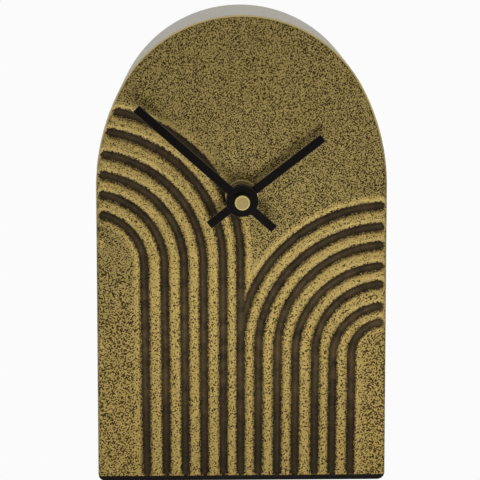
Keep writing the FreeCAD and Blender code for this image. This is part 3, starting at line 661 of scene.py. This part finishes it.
# Painted highlight: edges turned from the front are painted light.
painted_hand_edge_highlight = f.step(f.sum("ABSOLUTE", facing), 0.75, 0.97, 1.0, 0.0)
f.colour(f.blend(painted_hand_edge_highlight, black, paint(110, 104, 94)))
f.feed(f.shader, {"Specular IOR Level": 0.05})
f.relief(spray, 0.02)
for which in ("hour", "minute"):
    baton = softened(which + "_hand", hand_edge, 2)
    finished(baton, which + "_baton", hand_paint, which, [which + "_hand"])


# Hand nut: a small round nut of turned brass that holds the minute hand on its arbor. Its face
# is satin with fine rings, and its chamfered rim is brighter.
nut_low, nut_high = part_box("hand_nut")
nut_round = (nut_high.x - nut_low.x) / 2 / mm
satin = Finish("satin_brass", 0.55, 0.45)
f = satin
radius = f.from_axis(axis_x, axis_z)
tool_marks = f.rings(radius, 0.2)
flat_colour = f.blend(f.step(tool_marks, 0.3, 0.7), paint(98, 85, 40), paint(111, 96, 49))
nut_face = f.blend(f.step(radius, nut_round - 0.75, nut_round - 0.5), flat_colour, paint(164, 147, 92))
# Painted shade: the nut's side, behind its face, is painted dark.
painted_shade_nut_side = f.step(f.across("Y"), nut_low.y / mm + 0.4, nut_low.y / mm + 0.6)
f.colour(f.blend(painted_shade_nut_side, nut_face, paint(58, 49, 28)))
f.relief(tool_marks, 0.02)
dress(satin, "hand_nut")


# Back plate: laser-cut steel sheet with a window to the battery and the setting knob, black
# powder coat over it, held by four plated countersunk screws with cross recesses.
plate_edge = 0.35 * mm
plate_crease = math.radians(15)  # low, so that the rounded edge doesn't tint the flat
powder = Finish("black_powder_coat", 0.0, 0.6)
f = powder
peel = f.grain(0.9, 3, 0.6)
f.colour(f.blend(f.step(f.grain(12.0, 4, 0.6), 0.35, 0.65), paint(34, 34, 35), paint(44, 44, 45)))
f.feed(f.shader, {"Roughness": f.step(peel, 0.3, 0.7, 0.5, 0.65), "Specular IOR Level": 0.35})
f.relief(peel, 0.06)
plate = softened("back_plate", plate_edge, 2)
finished(plate, "coated_back_plate", powder, "clock_case", ["back_plate"],
         sharp_above=plate_crease)

zinc = Finish("zinc_plated_steel", 0.85, 0.35)
f = zinc
f.colour(f.blend(f.step(f.grain(0.6, 3, 0.6), 0.3, 0.7), paint(160, 160, 160), paint(184, 185, 187)))
f.relief(f.grain(0.3, 2, 0.5), 0.02)
dress(zinc, "back_plate_screws")


# Floor, light and camera: a pale seamless floor under an even white surround. One soft lamp
# stands straight in front and a small one low before the foot, so that the hands' shadows fall
# upwards on the face.
floor_size = 6.0
floor_mesh = bmesh.new()
bmesh.ops.create_grid(floor_mesh, x_segments=1, y_segments=1, size=floor_size)
floor_data = bpy.data.meshes.new("floor")
floor_mesh.to_mesh(floor_data)
floor_mesh.free()
floor = bpy.data.objects.new("floor", floor_data)
bpy.context.scene.collection.objects.link(floor)
floor_finish = Finish("pale_floor", 0.0, 0.9)
f = floor_finish
f.colour(paint(250, 250, 250))
floor_data.materials.append(floor_finish.material)


def seen_directly(tree):
    """A light path mask: 1 for what the camera sees, also in a reflection or through glass."""
    path = tree.nodes.new("ShaderNodeLightPath")
    either = path.outputs["Is Camera Ray"]
    for ray in ("Is Glossy Ray", "Is Transmission Ray"):
        larger = tree.nodes.new("ShaderNodeMath")
        larger.operation = "MAXIMUM"
        tree.links.new(either, larger.inputs[0])
        tree.links.new(path.outputs[ray], larger.inputs[1])
        either = larger.outputs[0]
    return either


floor_white = 0.93
floor_tree = floor_finish.material.node_tree
glow = floor_tree.nodes.new("ShaderNodeEmission")
share = floor_tree.nodes.new("ShaderNodeMath")
share.operation = "MULTIPLY"
share.inputs[1].default_value = floor_white
floor_tree.links.new(seen_directly(floor_tree), share.inputs[0])
both = floor_tree.nodes.new("ShaderNodeMixShader")
floor_tree.links.new(share.outputs[0], both.inputs[0])
floor_tree.links.new(floor_finish.shader.outputs[0], both.inputs[1])
floor_tree.links.new(glow.outputs[0], both.inputs[2])
floor_tree.links.new(both.outputs[0], floor_tree.nodes["Material Output"].inputs["Surface"])

surround_strength = 0.5
world = bpy.data.worlds.new("soft_surround")
bpy.context.scene.world = world
world.use_nodes = True
surround = world.node_tree.nodes["Background"]
surround.inputs["Color"].default_value = (1.0, 1.0, 1.0, 1.0)
brightness = world.node_tree.nodes.new("ShaderNodeMapRange")
brightness.inputs["To Min"].default_value = surround_strength
world.node_tree.links.new(seen_directly(world.node_tree), brightness.inputs["Value"])
world.node_tree.links.new(brightness.outputs[0], surround.inputs["Strength"])

hub_place = Vector((axis_x, face_y, axis_z))


def soft_lamp(name, away, size, power):
    """A round soft lamp, this far away from the hands' hub and turned towards it."""
    lamp = bpy.data.lights.new(name, "AREA")
    lamp.shape = "DISK"
    lamp.size = size
    lamp.energy = power
    holder = bpy.data.objects.new(name, lamp)
    holder.location = hub_place + away
    holder.rotation_euler = (-away).to_track_quat("-Z", "Y").to_euler()
    holder.visible_camera = False
    bpy.context.scene.collection.objects.link(holder)


soft_lamp("front_lamp", Vector((0.0, -1.57, 0.08)), size=0.35, power=1.5)
soft_lamp("low_lamp", Vector((0.02, -0.28, -0.095)), size=0.09, power=0.36)

aim = Vector((-0.9, -30.0, 134.6)) * mm
pitch = math.radians(14.4)
yaw = math.radians(1.16)
look = Vector((math.sin(yaw) * math.cos(pitch), math.cos(yaw) * math.cos(pitch), -math.sin(pitch)))
camera_distance = 0.95
lens_length = 137.55
sight_limit = 20.0
lens = bpy.data.cameras.new("camera")
lens.lens = lens_length
lens.clip_end = sight_limit
camera = bpy.data.objects.new("camera", lens)
camera.location = aim - look * camera_distance
camera.rotation_euler = look.to_track_quat("-Z", "Y").to_euler()
bpy.context.scene.collection.objects.link(camera)
bpy.context.scene.camera = camera
bpy.context.scene.view_settings.view_transform = "Standard"
